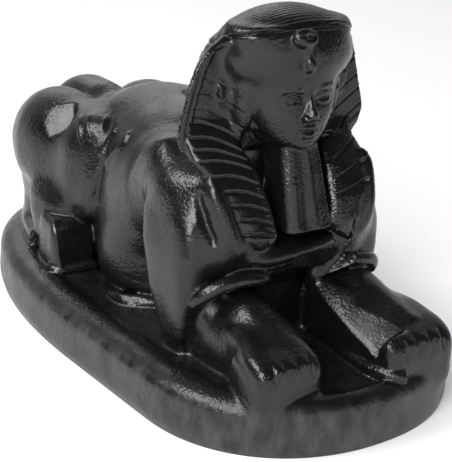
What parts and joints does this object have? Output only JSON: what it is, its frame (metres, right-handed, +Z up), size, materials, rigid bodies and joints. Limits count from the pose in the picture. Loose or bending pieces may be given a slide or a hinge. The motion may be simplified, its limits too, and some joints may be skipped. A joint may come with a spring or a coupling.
{
  "type": "sphinx statue",
  "caption": "Small black recumbent sphinx figurine with striped headcloth and square beard, cast in one with its egg-shaped plinth.",
  "frame": {"origin": "centre of the plinth's underside", "axes": "+Z up, -Y the way the sphinx looks, +X towards its left side"},
  "size_m": [0.0598, 0.1104, 0.068],
  "materials": {
    "cast_stone_resin": "black stone-filled casting resin, hand-rubbed to a satin gloss, duller and greyer on the plinth's wall"
  },
  "bodies": {
    "root": {"sphinx_statue": "cast_stone_resin"}
  },
  "joints": []
}
